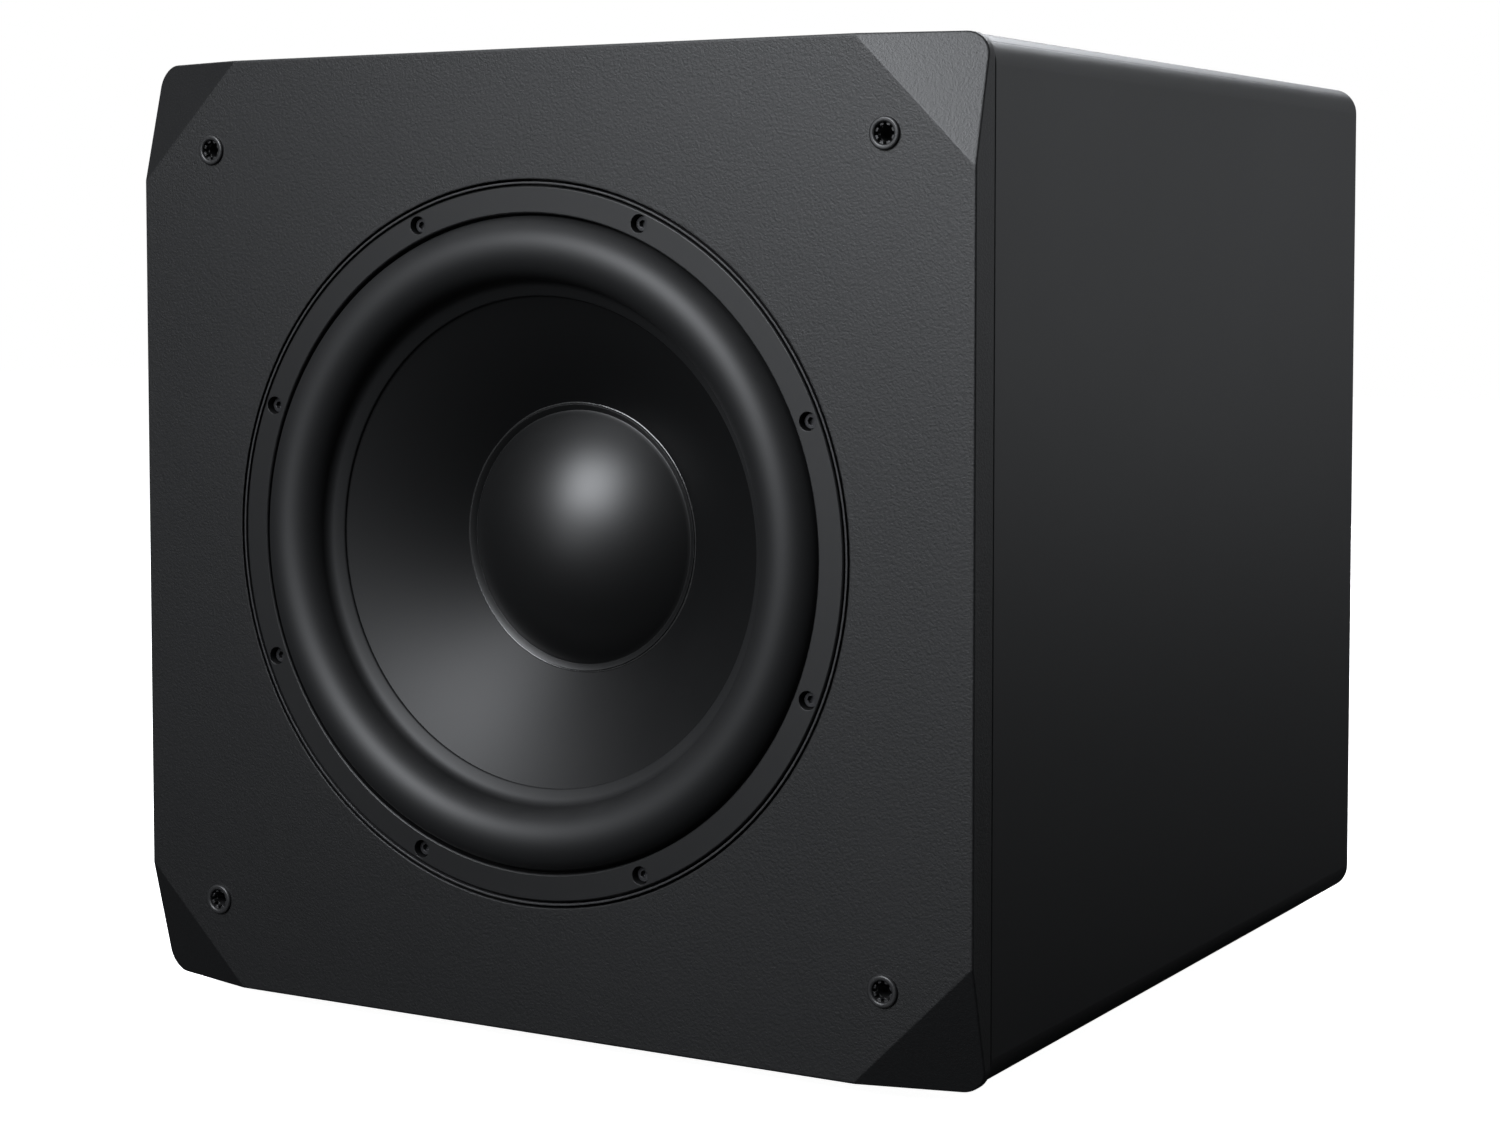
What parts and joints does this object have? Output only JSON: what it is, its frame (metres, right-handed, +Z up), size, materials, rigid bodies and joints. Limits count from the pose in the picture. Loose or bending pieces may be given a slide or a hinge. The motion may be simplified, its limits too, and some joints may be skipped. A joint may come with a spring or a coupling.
{
  "type": "subwoofer loudspeaker",
  "caption": "Cube subwoofer with a sealed black cabinet, faceted front corners, one large long-throw driver with a half-roll surround, and a plate amplifier on the back.",
  "frame": {"origin": "on the floor under the middle of the whole object, at the underside of the feet", "axes": "+Z up, -Y out of the front where the driver faces, +X to the right seen from the front"},
  "size_m": [0.42, 0.487, 0.43],
  "materials": {
    "baffle_paint": "fine textured black paint over fibreboard",
    "black_anodised": "black anodised",
    "black_plastic": "moulded",
    "black_rubber": "matte",
    "black_screw": "black oxide",
    "brass_insert": "machined",
    "cabinet_paint": "satin black paint over fibreboard",
    "cap_plastic": "soft gloss",
    "capacitor_sleeve": "shrink sleeve",
    "cast_basket": "black powder coat on casting",
    "circuit_board": "solder mask",
    "coil_former": "plain sheet",
    "coil_wire": "enamelled copper",
    "cone_paper": "smooth coated pulp",
    "enclosure_steel": "galvanised sheet",
    "ferrite": "ground ferrite",
    "fuse_glass": "clear",
    "gasket_foam": "closed cell foam",
    "grey_foam": "open cell foam",
    "inlet_plastic": "moulded",
    "jack_gold": "gold plated",
    "jack_insulator": "moulded",
    "knob_plastic": "moulded",
    "lens_plastic": "translucent",
    "motor_steel": "zinc plated",
    "phenolic": "moulded",
    "pin_nickel": "nickel plated",
    "plate_paint": "black powder coat on aluminium",
    "raw_fibreboard": "bare fibreboard",
    "rear_paint": "satin black paint over fibreboard",
    "shaft_steel": "turned",
    "socket_plastic": "moulded",
    "spider_cloth": "resin dipped cloth",
    "standoff_nickel": "nickel plated",
    "surround_rubber": "smooth satin",
    "tin_plate": "tinned",
    "tinsel": "braided",
    "trim_plastic": "satin moulded",
    "winding_tape": "polyester tape",
    "wire_jacket": "soft jacket",
    "zinc_screw": "zinc plated"
  },
  "bodies": {
    "cabinet": {"amp_enclosure": "enclosure_steel", "amp_gasket": "gasket_foam", "amp_plate": "plate_paint", "amp_screws": "black_screw", "baffle_inserts": "brass_insert", "basket": "cast_basket", "basket_gasket": "gasket_foam", "board_standoffs": "standoff_nickel", "bottom_panel": "cabinet_paint", "control_pots": "tin_plate", "damping_pads": "grey_foam", "driver_screws": "black_screw", "ferrite_magnets": "ferrite", "filter_capacitors": "capacitor_sleeve", "foot_screws": "zinc_screw", "front_baffle": "baffle_paint", "grille_sockets": "socket_plastic", "heatsink": "black_anodised", "inlet_pins": "pin_nickel", "input_board": "circuit_board", "jack_cores": "jack_insulator", "jack_shells": "jack_gold", "left_panel": "cabinet_paint", "main_board": "circuit_board", "mains_inlet": "inlet_plastic", "motor_screws": "black_screw", "pole_yoke": "motor_steel", "power_transistors": "phenolic", "rear_panel": "rear_paint", "right_panel": "cabinet_paint", "rocker_housing": "black_plastic", "rubber_feet": "black_rubber", "speaker_leads": "wire_jacket", "status_lens": "lens_plastic", "switch_bodies": "black_plastic", "terminal_block": "phenolic", "terminal_tags": "tin_plate", "top_panel": "cabinet_paint", "top_plate": "motor_steel", "transformer": "winding_tape", "transformer_clamp": "motor_steel", "trigger_jack": "black_plastic", "trim_ring": "trim_plastic", "window_brace": "raw_fibreboard"},
    "cone_assembly": {"cone": "cone_paper", "dust_cap": "cap_plastic", "coil_former": "coil_former", "voice_coil": "coil_wire", "surround": "surround_rubber", "spider": "spider_cloth", "tinsel_leads": "tinsel"},
    "volume_control": {"volume_knob": "knob_plastic", "volume_shaft": "shaft_steel"},
    "crossover_control": {"crossover_knob": "knob_plastic", "crossover_shaft": "shaft_steel"},
    "phase_lever": {"phase_slider": "black_plastic"},
    "mode_lever": {"mode_slider": "black_plastic"},
    "rocker": {"power_rocker": "black_plastic"},
    "fuse_carrier": {"fuse_drawer": "inlet_plastic", "fuse": "fuse_glass"}
  },
  "joints": [
    {"name": "cone_stroke", "type": "slide", "parent": "cabinet", "child": "cone_assembly", "axis": [0, 1, 0], "range_m": [-0.012, 0.012], "stiffness_N_per_m": 4200, "deforming": ["surround", "spider", "tinsel_leads"]},
    {"name": "volume_turn", "type": "hinge", "parent": "cabinet", "child": "volume_control", "pos_m": [0.084, 0.2215, 0.222], "axis": [0, 1, 0], "range_deg": [-150, 150]},
    {"name": "crossover_turn", "type": "hinge", "parent": "cabinet", "child": "crossover_control", "pos_m": [0.028, 0.2215, 0.222], "axis": [0, 1, 0], "range_deg": [-150, 150]},
    {"name": "phase_switch", "type": "slide", "parent": "cabinet", "child": "phase_lever", "axis": [1, 0, 0], "range_m": [-0.003, 0.003]},
    {"name": "mode_switch", "type": "slide", "parent": "cabinet", "child": "mode_lever", "axis": [1, 0, 0], "range_m": [-0.003, 0.003]},
    {"name": "power_switch", "type": "hinge", "parent": "cabinet", "child": "rocker", "pos_m": [0.088, 0.2215, 0.112], "axis": [1, 0, 0], "range_deg": [-16, 0]},
    {"name": "fuse_drawer_pull", "type": "slide", "parent": "cabinet", "child": "fuse_carrier", "axis": [0, 1, 0], "range_m": [0, 0.016]}
  ]
}
